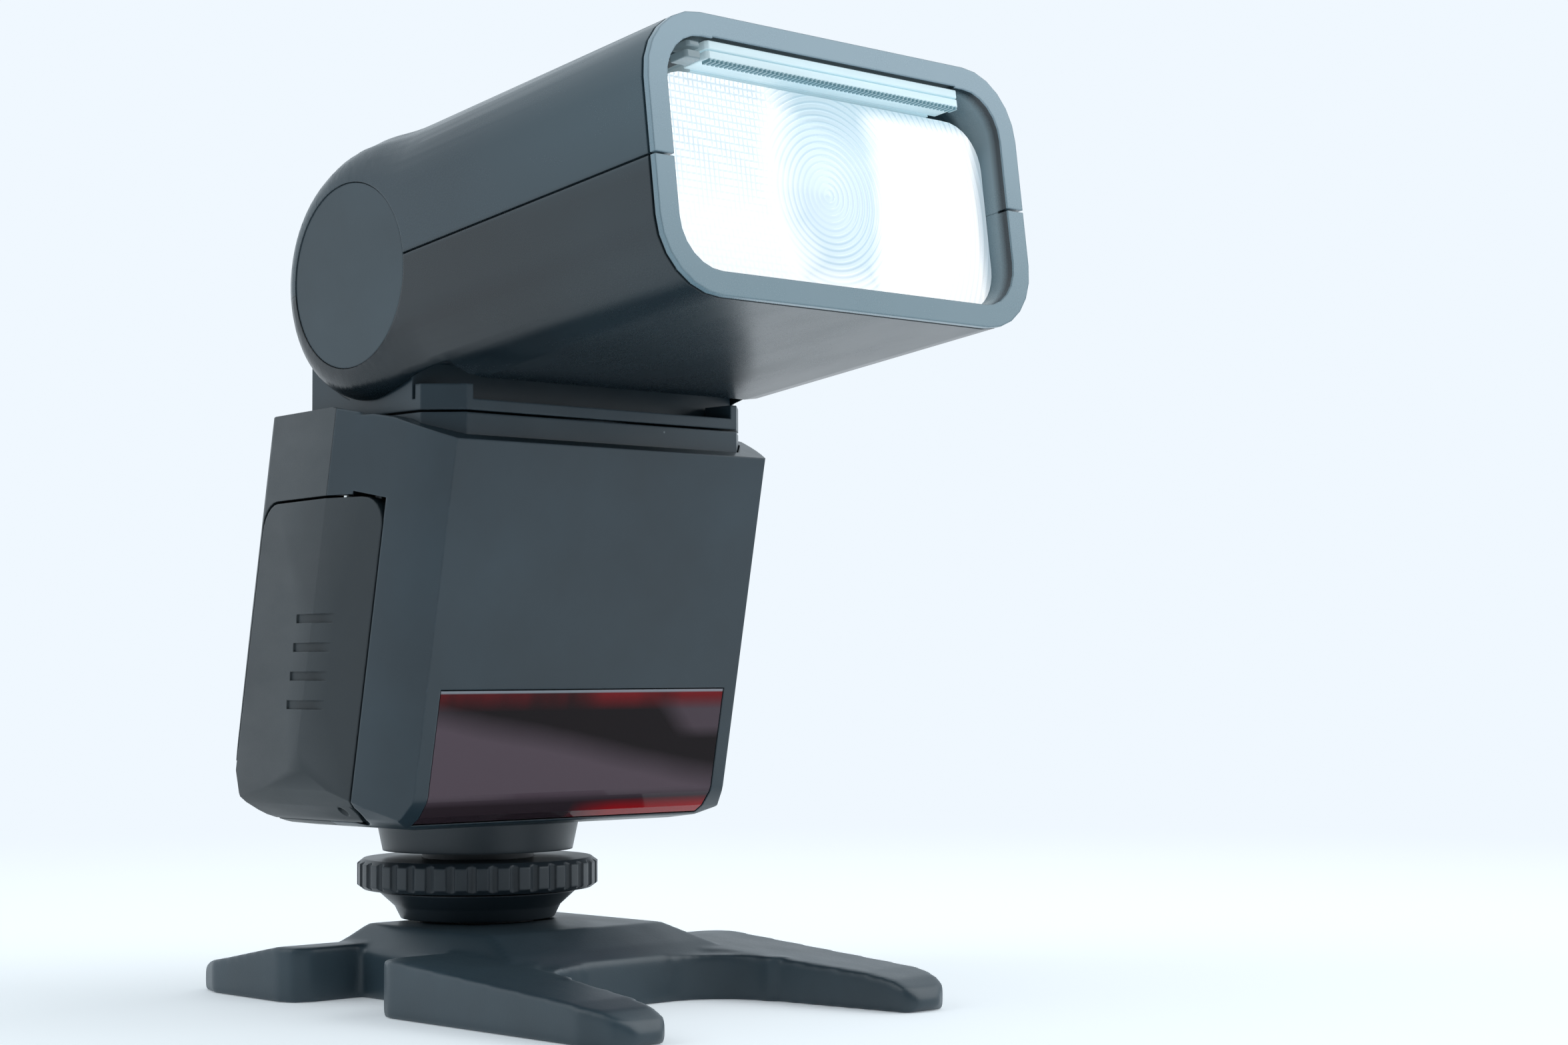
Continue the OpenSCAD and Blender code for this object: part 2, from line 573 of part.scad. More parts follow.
module head_shell() { difference() {
  union() {
    difference() {
      head_form(0);
      head_form(head_wall);
    }
    cheeks();
    // collar the lens sits against
    rounded_xz(open_w/2 + 1.6, -head_dn + 1, head_up - 1, 7, -head_len + 0.5, -head_len + lens_set + 3.5);
  }
  head_cuts();
  // line behind the front rim
  difference() {
    translate([-40, -head_len + rim_line, -30]) cube([80, 0.35, 60]);
    rounded_xz(hh - 0.35, -head_dn + 0.35, head_up - 0.35, head_r - 0.35, -head_len, -head_len + 3);
  }
  // parting line, open through the rim
  for (s = [-1, 1]) {
    translate([s*hh - 0.6, -head_len - 1, -0.15]) cube([1.2, head_len - cap_r + 1, 0.3]);
    translate([s*(hh - 2) - 2, -head_len - 1, -0.15]) cube([4, 2.6, 0.3]);
  }
}}
module head_upper() { color(black) head_frame() intersection() { head_shell(); translate([-50, -70, 0.02]) cube([100, 120, 50]); } }
// block that holds the rear ends of the guide rod and the motor
module rod_block() { difference() {
  translate([-15, -19.2, -14.2]) cube([6, 3.6, 6]);
  translate([-12, -16.2, rod_z]) rotate([90, 0, 0]) cylinder(r = 1.0, h = 27.5);
}}
module head_lower() { color(black) head_frame() { intersection() { head_shell(); translate([-50, -70, -50]) cube([100, 120, 50]); }
  rod_block();
  difference() { translate([7.5, -24.2, -14.2]) cube([9, 8.4, 3.4]); translate([12, -15.9, rod_z + 1.8]) rotate([90, 0, 0]) cylinder(r = 4.0, h = 12); } } }
module fresnel_lens() { color([0.9, 0.95, 1, 0.35]) head_frame() difference() {
  rounded_xz(open_w/2 - 0.1, -head_dn + rim_w + 0.1, card_z - 0.6, open_r, lens_y, lens_y + 2.2);
  // stepped rings on the inner side
  translate([0, lens_y + 2.2, -0.6]) rotate([90, 0, 0]) rotate_extrude($fn = 64)
    polygon(concat([[0, -1], [0, 0]], [for (k = [1:11], j = [0, 1]) [2.0*k + j*e, j == 0 ? 0.9 : 0]], [[24, -1]]));
}}
module wide_panel() { color([0.9, 0.95, 1, 0.4]) head_frame() translate([-card_w/2, card_y, card_z]) cube([card_w, card_l, 1.1]); }
module bounce_card() { color([0.93, 0.94, 0.95]) head_frame() translate([-card_w/2, card_y + 0.4, card_z + 1.45]) cube([card_w, card_l, 0.9]); }
module tilt_cap(s) { color(black) head_frame() translate([s > 0 ? hh - 1.1 : -hh + 0.1, 0, 0]) rotate([0, 90, 0]) cylinder(r = cap_r, h = 1.0, $fn = 96); }
module tilt_cap_left() { tilt_cap(-1); }
module tilt_cap_right() { tilt_cap(1); }
module tilt_pin(s) { color([0.7, 0.72, 0.74]) head_frame() translate([s > 0 ? neck_h - tpin_l + 0.3 : -hh + 1.25, 0, 0]) rotate([0, 90, 0])
  cylinder(r = tpin_r, h = hh - 1.25 - neck_h + tpin_l - 0.3); }
module tilt_pin_left() { tilt_pin(-1); }
module tilt_pin_right() { tilt_pin(1); }

// ---------- lamp ----------
lamp_y = -42;
module reflector() { color([0.85, 0.87, 0.9]) head_frame() difference() {
  translate([-20, 0, 0]) rotate([90, 0, 90]) linear_extrude(40) polygon(concat(
    [for (k = [-8:8]) [lamp_y + 3.2 - 0.125*k*k, k*1.05 - 0.6]],
    [for (k = [8:-1:-8]) [lamp_y + 4.0 - 0.125*k*k + (abs(k) > 7 ? -0.4 : 0.2), k*1.13 - 0.6]]));
  translate([0, lamp_y, -0.6]) rotate([0, 90, 0]) cylinder(r = 1.9, h = 60, center = true);
}}
module flash_tube() { color([0.9, 0.95, 1, 0.5]) head_frame() translate([-22.4, lamp_y, -0.6]) rotate([0, 90, 0]) cylinder(r = 1.5, h = 44.8); }
rod_z = -11.2;
module zoom_carriage() { color([0.85, 0.86, 0.88]) head_frame() difference() {
  union() {
    for (s = [-1, 1]) translate([s > 0 ? 20.2 : -22.2, lamp_y - 4.5, -9.4]) cube([2.0, 12, 17]);
    translate([-22.2, lamp_y + 5.4, -12.8]) cube([44.4, 2.1, 20.4]);
  }
  translate([0, lamp_y, -0.6]) rotate([0, 90, 0]) cylinder(r = 1.5, h = 60, center = true);
  translate([-12, 0, rod_z]) rotate([90, 0, 0]) cylinder(r = 1.0 + run_clr, h = 60);
  translate([12, 0, rod_z]) rotate([90, 0, 0]) cylinder(r = 1.0 + run_clr, h = 60);
}}
module guide_rod() { color([0.75, 0.77, 0.8]) head_frame() translate([-12, -16.2, rod_z]) rotate([90, 0, 0]) cylinder(r = 1.0, h = 27.5); }
module lead_screw() { color([0.75, 0.77, 0.8]) head_frame() translate([12, -22.6, rod_z]) rotate([90, 0, 0]) cylinder(r = 1.0, h = 21); }
module zoom_motor() { color([0.6, 0.62, 0.64]) head_frame() difference() {
  translate([12, -16.0, rod_z + 1.8]) rotate([90, 0, 0]) cylinder(r = 4.0, h = 7.6);
  translate([12, -22.0, rod_z]) rotate([90, 0, 0]) cylinder(r = 1.0 + run_clr, h = 4);
}}

// ---------- foot ----------
module foot_collar() { color(black) difference() {
  union() {
    translate([0, 0, ring_z0 + ring_h + lock_travel + 0.3]) cylinder(r1 = 12.6, r2 = 13.4, h = body_z0 - 0.05 - ring_z0 - ring_h - lock_travel - 0.3);
    translate([0, 0, body_z0 - 0.5]) cylinder(r = 9.3, h = 6);
    translate([0, 0, stem_z]) cylinder(r = stem_r, h = body_z0 + 2 - stem_z);
  }
  translate([0, 0, 7]) cylinder(r = 5.6, h = 30);
}}
module shoe_foot() { color(dark) difference() {
  union() {
    translate([-shoe_w/2, -shoe_l/2, foot_z]) cube([shoe_w, shoe_l, shoe_t]);
    intersection() { translate([-6.1, -stem_r, foot_z + shoe_t - e]) cube([12.2, 2*stem_r, stem_z - foot_z - shoe_t + e]); cylinder(r = stem_r, h = 20); }
    translate([0, 0, stem_z - 0.1]) cylinder(r = 5.6, h = 12);
  }
  for (p = pins) translate([p[0], p[1], foot_z - 1]) cylinder(r = 0.9 + run_clr, h = 2.9, $fn = 24);
}}
pins = [[0, 0], [-4.2, 5.2], [4.2, 5.2], [0, 5.2], [-4.2, -1.5]];
module pin(k) { color([0.85, 0.75, 0.45]) translate([pins[k][0], pins[k][1], foot_z - 0.04]) cylinder(r = 0.9, h = 1.3, $fn = 24); }
module contact_1() { pin(0); }
module contact_2() { pin(1); }
module contact_3() { pin(2); }
module contact_4() { pin(3); }
module contact_5() { pin(4); }
module lock_plate() { color(black) difference() {
  union() {
    translate([0, 0, plat_z + 0.3]) cylinder(r1 = 10.2, r2 = 11.0, h = 1.6);
    translate([0, 0, plat_z + 1.9]) cylinder(r1 = 11.0, r2 = 13.2, h = ring_z0 - plat_z - 2.2);
  }
  translate([0, 0, 5]) cylinder(r = stem_r + 0.4, h = 20);
}}
module lock_ring() { color(black) difference() {
  union() {
    translate([0, 0, ring_z0]) cylinder(r1 = ring_r - 0.8, r2 = ring_r, h = 0.6, $fn = 72);
    translate([0, 0, ring_z0 + 0.6]) cylinder(r = ring_r, h = ring_h - 1.2, $fn = 72);
    translate([0, 0, ring_z0 + ring_h - 0.6]) cylinder(r1 = ring_r, r2 = ring_r - 0.8, h = 0.6, $fn = 72);
  }
  translate([0, 0, 5]) cylinder(r = stem_r + 0.1, h = 20);
  for (k = [0:ring_n - 1]) rotate(k*360/ring_n) translate([ring_r + 0.25, 0, ring_z0 - 1]) cylinder(r = 0.75, h = ring_h + 2, $fn = 8);
}}

// ---------- stand ----------
module leg(sx, sy) {
  tip = sy < 0 ? -leg_y0 : leg_y1;
  root = sy < 0 ? 16.2 : 1.5;
  inn = sy < 0 ? 29 : 12;
  scale([sx, sy, 1]) intersection() {
    linear_extrude(leg_h + 2) polygon([[12, root], [leg_x - 3, root], [leg_x - 0.8, root + 1.0], [leg_x, root + 3.2],
      [leg_x, tip - 6], [leg_x - 1.6, tip - 1.6], [leg_x - 4, tip], [leg_x - 7.5, tip],
      [leg_x - 9.0, tip - 1.2], [15.6, inn + 3], [12.5, inn], [12, inn]]);
    rotate([90, 0, 90]) linear_extrude(40) polygon([[0, 0], [tip - 1, 0], [tip, 0.8], [tip, 1.6], [tip - 1.0, 3.0], [tip - 3.4, 4.0],
      [tip - 8, 4.7], [root + 4, leg_h], [0, leg_h]]);
  }
}
module stand_base() { color(black) difference() {
  union() {
    // platform with its chamfers
    intersection() {
      translate([-18, -32, 0]) cube([36, 41.2, plat_z]);
      rotate([90, 0, 0]) translate([0, 0, -30]) linear_extrude(80) polygon([[-17.7, 0], [17.7, 0], [17.7, plat_z - 3.2],
        [plat_hx, plat_z], [-plat_hx, plat_z], [-17.7, plat_z - 3.2]]);
      rotate([90, 0, 90]) translate([0, 0, -30]) linear_extrude(60) polygon([[-31, 0], [8.7, 0], [8.7, plat_z - 3.2], [plat_y1, plat_z],
        [plat_y0, plat_z], [-27.6, plat_z - 2.1], [-30.5, plat_z - 3.4], [-31, 0]]);
    }
    for (sx = [-1, 1], sy = [-1, 1]) leg(sx, sy);
  }
  // shoe slot, open to the rear
  translate([-shoe_w/2 - 0.15, -shoe_l/2 - 0.3, foot_z - slot_c]) cube([shoe_w + 0.3, 40, shoe_t + 2*slot_c]);
  translate([-6.3, -7.8, foot_z]) cube([12.6, 40, 8]);
  // insert seat
  translate([0, 0, -1]) cylinder(r = 4.6, h = 5.9);
}}
module thread_insert() { color([0.75, 0.6, 0.3]) difference() {
  cylinder(r = 4.6, h = 4.9);
  translate([0, 0, -1]) cylinder(r = thr_r, h = 5.6);
}}

stand_base();
thread_insert();
shoe_foot();
foot_collar();
lock_plate();
lock_ring();
contact_1();
contact_2();
contact_3();
contact_4();
contact_5();
front_shell();
rear_shell();
sensor_window();
assist_lamp();
sensor_board();
battery_door();
door_contact();
door_hinge_pin();
battery_cradle();
cell_lower();
cell_upper();
cell_spring_lower();
cell_spring_upper();
main_board();
capacitor();
transformer();
lcd_window();
lcd_module();
key_board();
button_1();
button_2();
button_3();
button_4();
test_button();
dial_ring();
set_button();
power_switch();
turret();
yoke();
pan_nut();
pan_spring();
head_upper();
head_lower();
fresnel_lens();
wide_panel();
bounce_card();
tilt_cap_left();
tilt_cap_right();
tilt_pin_left();
tilt_pin_right();
reflector();
flash_tube();
zoom_carriage();
guide_rod();
lead_screw();
zoom_motor();
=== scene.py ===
import math

import bmesh
import bpy
from mathutils import Matrix, Vector
from mathutils.bvhtree import BVHTree


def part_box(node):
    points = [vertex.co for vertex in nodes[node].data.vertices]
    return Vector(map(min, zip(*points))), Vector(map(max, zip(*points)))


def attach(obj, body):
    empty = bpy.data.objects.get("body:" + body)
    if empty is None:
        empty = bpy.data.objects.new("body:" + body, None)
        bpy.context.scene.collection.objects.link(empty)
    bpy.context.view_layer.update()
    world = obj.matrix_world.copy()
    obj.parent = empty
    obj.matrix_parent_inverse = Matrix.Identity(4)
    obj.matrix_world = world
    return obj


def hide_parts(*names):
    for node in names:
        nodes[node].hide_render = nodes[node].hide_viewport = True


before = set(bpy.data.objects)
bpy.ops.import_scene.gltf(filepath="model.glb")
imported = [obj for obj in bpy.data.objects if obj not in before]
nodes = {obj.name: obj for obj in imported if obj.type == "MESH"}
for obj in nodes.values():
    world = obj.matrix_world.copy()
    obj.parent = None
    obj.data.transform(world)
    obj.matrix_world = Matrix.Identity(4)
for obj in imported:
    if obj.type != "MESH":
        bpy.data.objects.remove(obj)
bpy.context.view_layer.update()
scene = bpy.context.scene
scene.view_settings.view_transform = "Standard"

MM = 0.001

# The head's own frame, metres: the tilt axis at the origin, -Y ahead, tilted as in the photograph.
TILT_AXIS = (0, -0.0129, 0.0912)
TILT_ANGLE = math.radians(-7.25)
HEAD = Matrix.Translation(TILT_AXIS) @ Matrix.Rotation(TILT_ANGLE, 4, "X")

# Head sizes, millimetres in that frame.
HEAD_HALF = 30.05        # half width outside
HEAD_TOP = 17.3          # upper face above the tilt axis
BARREL = 15.4            # radius of the tilt barrel, and of the lower face below the axis
CHEEK = 26.65            # half width of the room the neck has
RIM_FACE = -58.8         # front of the rim
LENS_FACE, LENS_BACK = -55.2, -53.0
LENS_HALF_WIDE, LENS_HALF_HIGH, LENS_CORNER = 27.15, 11.95, 5.8
LENS_LIFT = -0.55        # middle of the lens above the tilt axis
RING_PITCH = 0.8         # the lens's rings

PALE = (0.871, 0.938, 1.0, 1.0)      # room and floor, as the camera sees them


# ---------------------------------------------------------------- node helpers
class Nodes:
    """A node tree under construction; apart from node(), every call returns an output socket."""

    def __init__(self, tree):
        self.tree = tree
        tree.nodes.clear()

    def node(self, kind, inputs=None, **settings):
        made = self.tree.nodes.new(kind)
        for key, value in settings.items():
            setattr(made, key, value)
        for key, value in (inputs or {}).items():
            if isinstance(value, bpy.types.NodeSocket):
                self.tree.links.new(value, made.inputs[key])
            else:
                made.inputs[key].default_value = value
        return made

    def math(self, operation, a, b=0.0):
        return self.node("ShaderNodeMath", {0: a, 1: b}, operation=operation).outputs[0]

    def product(self, first, *others):
        for value in others:
            first = self.math("MULTIPLY", first, value)
        return first

    def total(self, first, *others):
        for value in others:
            first = self.math("ADD", first, value)
        return first

    def greatest(self, first, *others):
        for value in others:
            first = self.math("MAXIMUM", first, value)
        return first

    def vector(self, operation, a, b):
        """Vector maths: the result, a number for DOT_PRODUCT and a vector otherwise."""
        made = self.node("ShaderNodeVectorMath", {0: a, 1: b}, operation=operation)
        return made.outputs["Value" if operation == "DOT_PRODUCT" else "Vector"]

    def spread(self, value, low, high, to_low=0.0, to_high=1.0, **settings):
        """Linear remap of a socket, clamped."""
        return self.node("ShaderNodeMapRange", {
            "Value": value, "From Min": low, "From Max": high,
            "To Min": to_low, "To Max": to_high}, **settings).outputs["Result"]

    def eased(self, value, low, high, to_low=0.0, to_high=1.0):
        """The same with a soft start and end."""
        return self.spread(value, low, high, to_low, to_high, interpolation_type="SMOOTHSTEP")

    def mix_shader(self, factor, a, b):
        return self.node("ShaderNodeMixShader", {0: factor, 1: a, 2: b}).outputs[0]


class Look(Nodes):
    """A material under construction, in the object's coordinates."""

    def __init__(self, name):
        self.material = bpy.data.materials.new(name)
        self.material.use_nodes = True
        super().__init__(self.material.node_tree)
        self.out = self.node("ShaderNodeOutputMaterial")
        self.coords = self.node("ShaderNodeTexCoord").outputs["Object"]

    def noise(self, scale, detail=3.0, rough=0.55, vector=None):
        return self.node("ShaderNodeTexNoise", {
            "Vector": vector or self.coords, "Scale": scale,
            "Detail": detail, "Roughness": rough}).outputs["Fac"]

    def stretched(self, x, y, z):
        return self.vector("MULTIPLY", self.coords, (x, y, z))

    def mix(self, factor, a, b):
        return self.node("ShaderNodeMix", {0: factor, 6: a, 7: b}, data_type="RGBA").outputs[2]

    def rounded(self, radius):
        """Normal that rolls over hard edges."""
        return self.node("ShaderNodeBevel", {"Radius": radius}, samples=4).outputs["Normal"]

    def bump(self, height, distance, strength=1.0, normal=None):
        inputs = {"Height": height, "Distance": distance, "Strength": strength}
        if normal is not None:
            inputs["Normal"] = normal
        return self.node("ShaderNodeBump", inputs).outputs["Normal"]

    def shader(self, **inputs):
        """Principled shader on the output; keyword names use _ for a space."""
        named = {key.replace("_", " "): value for key, value in inputs.items()}
        made = self.node("ShaderNodeBsdfPrincipled", named)
        self.tree.links.new(made.outputs[0], self.out.inputs["Surface"])
        return self.material


def rgb(red, green, blue):
    """Display colour 0..255 as the linear colour a shader takes."""
    def linear(v):
        v /= 255
        return v / 12.92 if v <= 0.04045 else ((v + 0.055) / 1.055) ** 2.4
    return (linear(red), linear(green), linear(blue), 1.0)


def toned(colour, factor, lift=0.0):
    """A linear colour made darker or paler."""
    return tuple(min(1.0, c * factor + lift) for c in colour[:3]) + (1.0,)


# ---------------------------------------------------------------- shaping helpers
def dress(name, width, angle=32.0, segments=2):
    """Round a CAD node's hard edges with modifiers: join, dissolve flats, bevel, weight normals."""
    mesh = nodes[name].data
    mesh.polygons.foreach_set("use_smooth", [True] * len(mesh.polygons))
    for layer in ("custom_normal", "sharp_edge"):
        if layer in mesh.attributes:
            mesh.attributes.remove(mesh.attributes[layer])
    stack = nodes[name].modifiers
    stack.new("join", "WELD").merge_threshold = 0.000002
    flats = stack.new("flats", "DECIMATE")
    flats.decimate_type = "DISSOLVE"
    flats.angle_limit = math.radians(0.8)
    edge = stack.new("edge", "BEVEL")
    edge.limit_method = "ANGLE"
    edge.angle_limit = math.radians(angle)
    edge.width = width
    edge.segments = segments
    edge.use_clamp_overlap = True
    stack.new("shade", "WEIGHTED_NORMAL").weight = 60


def soften(made, width):
    """Small two-step rounding on the edges of a new piece."""
    edge = made.modifiers.new("edge", "BEVEL")
    edge.width = width
    edge.segments = 2
    edge.limit_method = "ANGLE"
    made.modifiers.new("shade", "WEIGHTED_NORMAL")


def add(name, mesh, material, body):
    """New piece from a mesh, riding on a CAD body."""
    mesh.materials.append(material)
    made = bpy.data.objects.new(name, mesh)
    scene.collection.objects.link(made)
    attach(made, body)
    return made


def head_piece(name, points, faces, material, body, slot):
    """New flat-shaded piece from points in head millimetres."""
    mesh = bpy.data.meshes.new(name)
    mesh.from_pydata([HEAD @ Vector([c * MM for c in p]) for p in points], [], faces)
    mesh.update()
    return add(name, mesh, material, body)


# ---------------------------------------------------------------- general materials
def moulded(name, colour, rough, grain=0.000012, grain_scale=5200, specks=0.0, seed=0.0):
    """Dark moulded plastic: fine eroded grain, slight tone drift, paler edges that are a painted
    highlight, sparse dust.
    """
    look = Look(name)
    place = look.vector("ADD", look.coords, (seed, seed * 0.7, -seed))
    drift = look.noise(34, 4, 0.6, place)
    fine = look.noise(grain_scale, 2, 0.6, place)
    base = look.mix(look.spread(drift, 0.32, 0.68), toned(colour, 0.80), toned(colour, 1.22))
    # painted highlight: the rounded edges are made paler, in patches
    soft = look.rounded(0.00035)
    face = look.node("ShaderNodeNewGeometry").outputs["Normal"]
    edge = look.spread(look.vector("DOT_PRODUCT", soft, face), 0.995, 0.90)
    highlight_patches = look.spread(look.noise(420, 3, 0.7, place), 0.45, 0.75, 0.12, 0.75)
    base = look.mix(look.product(edge, highlight_patches), base, toned(colour, 1.9, 0.012))
    if specks:
        dots = look.node("ShaderNodeTexVoronoi", {"Vector": place, "Scale": 520.0}, feature="F1")
        chosen = look.spread(dots.outputs["Color"], 0.965, 0.97)
        near = look.spread(dots.outputs["Distance"], 0.10, 0.05, 0.0, specks)
        base = look.mix(look.product(chosen, near), base, rgb(176, 188, 192))
    smear = look.noise(90, 4, 0.65, look.stretched(1.0, 0.35, 1.0))
    roughness = look.total(look.spread(smear, 0.3, 0.7, rough - 0.05, rough + 0.06),
                           look.spread(fine, 0.3, 0.7, -0.02, 0.02))
    return look.shader(Base_Color=base, Roughness=roughness,
                       Normal=look.bump(fine, grain, 0.55, soft), IOR=1.5)


def metal(name, colour, rough):
    """Turned or drawn metal: fine streaks in tone, gloss and relief."""
    look = Look(name)
    rings = look.noise(900.0, 2, 0.5, look.stretched(0.2, 1.0, 1.0))
    base = look.mix(look.spread(rings, 0.3, 0.7), toned(colour, 0.82), colour)
    return look.shader(Base_Color=base, Roughness=look.spread(rings, 0.3, 0.7, rough, rough + 0.1),
                       Normal=look.bump(rings, 0.00001, 0.4), Metallic=1.0)


def printed_board():
    """Green solder mask with paler raised tracks."""
    look = Look("board_solder_mask")
    tracks = look.node("ShaderNodeTexVoronoi", {"Vector": look.coords, "Scale": 620.0},
                       feature="DISTANCE_TO_EDGE").outputs["Distance"]
    base = look.mix(look.spread(tracks, 0.02, 0.06), rgb(38, 112, 78), rgb(16, 72, 48))
    return look.shader(Base_Color=base, Roughness=0.32,
                       Normal=look.bump(tracks, 0.00003, 0.4), IOR=1.5)


def clear(name, tint, rough):
    """Clear plastic or glass, faintly rippled and unevenly tinted."""
    look = Look(name)
    haze = look.spread(look.noise(240, 3, 0.6), 0.3, 0.7, rough, rough + 0.03)
    base = look.mix(look.spread(look.noise(55, 2, 0.5), 0.3, 0.7), tint, toned(tint, 0.96))
    return look.shader(Base_Color=base, Roughness=haze, IOR=1.49, Transmission_Weight=1.0,
                       Normal=look.bump(look.noise(700, 2, 0.5), 0.000004, 0.3))


def mottled(name, colour, rough, metallic=0.0):
    """Plain finish with a cloudy tone, for small and hidden pieces."""
    look = Look(name)
    tone = look.noise(300.0, 3, 0.6)
    base = look.mix(look.spread(tone, 0.3, 0.7), toned(colour, 0.88), colour)
    return look.shader(Base_Color=base, Roughness=look.spread(tone, 0.3, 0.7, rough, rough + 0.08),
                       Normal=look.bump(tone, 0.00001, 0.3), Metallic=metallic, IOR=1.5)


def plate_look(name, tint):
    """Edge of a clear plate: pale, slightly green, with cloudy streaks along it, and a faint glow
    that is painted light.
    """
    look = Look(name)
    streak = look.noise(120, 4, 0.6, look.stretched(0.25, 3.0, 3.0))
    base = look.mix(look.spread(streak, 0.35, 0.65), toned(tint, 0.82), tint)
    # the faint emission is painted light: the plate glows
    return look.shader(Base_Color=base, Roughness=look.spread(streak, 0.3, 0.7, 0.08, 0.2),
                       IOR=1.49, Normal=look.bump(streak, 0.00001, 0.3),
                       Emission_Color=tint, Emission_Strength=0.18)


# ---------------------------------------------------------------- red sensor window
def window_look():
    """Deep red tinted window: near black, a painted reflection as a mauve haze low on the left and
    in the upper right corner, a painted red glow along its upper and lower edges, and a painted
    highlight on its top edge.

    u runs across the window and v up it, both from 0 to 1."""
    look = Look("window_red_gloss")
    low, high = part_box("sensor_window")
    parts = look.node("ShaderNodeSeparateXYZ", {0: look.coords}).outputs
    u = look.spread(parts["X"], low.x, high.x)
    v = look.spread(parts["Z"], low.z, high.z)
    wander = look.product(look.math("SUBTRACT", look.noise(40, 3, 0.5), 0.5), 0.16)

    # painted reflection: a mauve haze low on the left and in the upper right corner
    slope = look.total(v, look.product(u, 0.52), wander)
    painted_reflection_left = look.product(look.spread(slope, 0.92, 0.70), look.spread(v, 0.12, 0.20, 0.25, 1.0))
    reach = look.math("SUBTRACT", look.total(u, look.product(v, 0.35)), look.product(wander, 0.5))
    painted_reflection_corner = look.product(look.spread(reach, 1.06, 1.16, 0.0, 0.75),
                               look.spread(v, 0.95, 0.84), look.spread(v, 0.60, 0.70))
    base = look.mix(look.greatest(painted_reflection_left, painted_reflection_corner), rgb(17, 4, 9), rgb(92, 78, 87))

    # painted light: a red glow along the upper and lower edges
    streaks = look.noise(60, 3, 0.6, look.stretched(1.0, 1.0, 0.2))
    painted_glow_top = look.product(look.spread(v, 0.84, 0.96, 0.0, 0.42),
                            look.spread(streaks, 0.40, 0.62, 0.15, 1.0))
    painted_glow_foot = look.product(look.spread(v, 0.14, 0.05), look.spread(u, 0.50, 0.66))
    base = look.mix(look.greatest(painted_glow_top, painted_glow_foot), base, rgb(176, 16, 26))
    # painted highlight along the top edge
    base = look.mix(look.spread(v, 0.975, 0.985, 0.0, 0.8), base, rgb(150, 160, 168))
    return look.shader(Base_Color=base, IOR=1.25,
                       Roughness=look.spread(look.noise(160, 4, 0.6), 0.35, 0.7, 0.03, 0.085),
                       Normal=look.bump(look.noise(900, 3, 0.7), 0.000004, 0.25))


# ---------------------------------------------------------------- head materials
def head_local(look):
    """Sockets of the head's own frame, metres: across, ahead (negative forward) and up."""
    moved = look.vector("ADD", look.coords, tuple(-c for c in TILT_AXIS))
    turned = look.node("ShaderNodeVectorRotate", {
        "Vector": moved, "Axis": (1, 0, 0), "Angle": -TILT_ANGLE},
        rotation_type="AXIS_ANGLE").outputs[0]
    parts = look.node("ShaderNodeSeparateXYZ", {0: turned}).outputs
    return parts["X"], parts["Y"], parts["Z"]


def head_shell_look():
    """Head moulding: satin sides that painted light makes paler forward, a lighter front rim that
    turns paler towards its top, and a grey inner wall between rim and lens. The lower half is
    darker than the upper one: painted shade."""
    look = Look("head_moulded")
    across, ahead, up = head_local(look)
    grain = look.noise(5200, 2, 0.6)
    # painted shade: the lower half darker than the upper one
    upper = look.spread(up, -0.0006, 0.0006)
    side = look.mix(upper, rgb(14, 24, 30), rgb(48, 65, 74))
    drift = look.spread(look.noise(30, 4, 0.6), 0.32, 0.68, 0.0, 0.3)
    base = look.mix(drift, side, rgb(40, 54, 61))
    # painted light: the sides turn paler forward, more in the upper half
    painted_forward_light = look.product(look.spread(ahead, -0.022, -0.056, 0.0, 0.55),
                        look.spread(up, -0.002, 0.006, 0.25, 1.0))
    base = look.mix(painted_forward_light, base, rgb(70, 94, 104))
    # front rim lighter than the sides, paler towards its top
    rim = look.mix(look.spread(up, -0.013, 0.015), rgb(110, 136, 147), rgb(140, 164, 176))
    base = look.mix(look.spread(ahead, -0.05795, -0.05805), base, rim)

    # inner wall of the opening: within the rim, behind its face and ahead of the lens
    wall = look.product(look.math("LESS_THAN", look.math("ABSOLUTE", across), 0.02752),
                        look.math("LESS_THAN", up, 0.0148),
                        look.math("GREATER_THAN", up, -0.01285),
                        look.spread(ahead, -0.05865, -0.05855),
                        look.spread(ahead, -0.0535, -0.0525, 1.0, 0.0))
    grey = look.mix(look.spread(ahead, -0.0580, -0.0568), rgb(30, 46, 54), rgb(120, 140, 148))
    base = look.mix(wall, base, grey)

    smear = look.noise(90, 4, 0.65, look.stretched(1.0, 0.35, 1.0))
    roughness = look.total(look.spread(smear, 0.3, 0.7, 0.22, 0.30),
                           look.spread(grain, 0.3, 0.7, -0.02, 0.02))
    return look.shader(Base_Color=base, Roughness=roughness, IOR=1.5,
                       Normal=look.bump(grain, 0.000008, 0.5, look.rounded(0.0003)))


def waves(look, distance, pitch):
    """Sine along a distance, one wave to each pitch in metres."""
    return look.math("SINE", look.product(distance, 2 * math.pi / pitch))


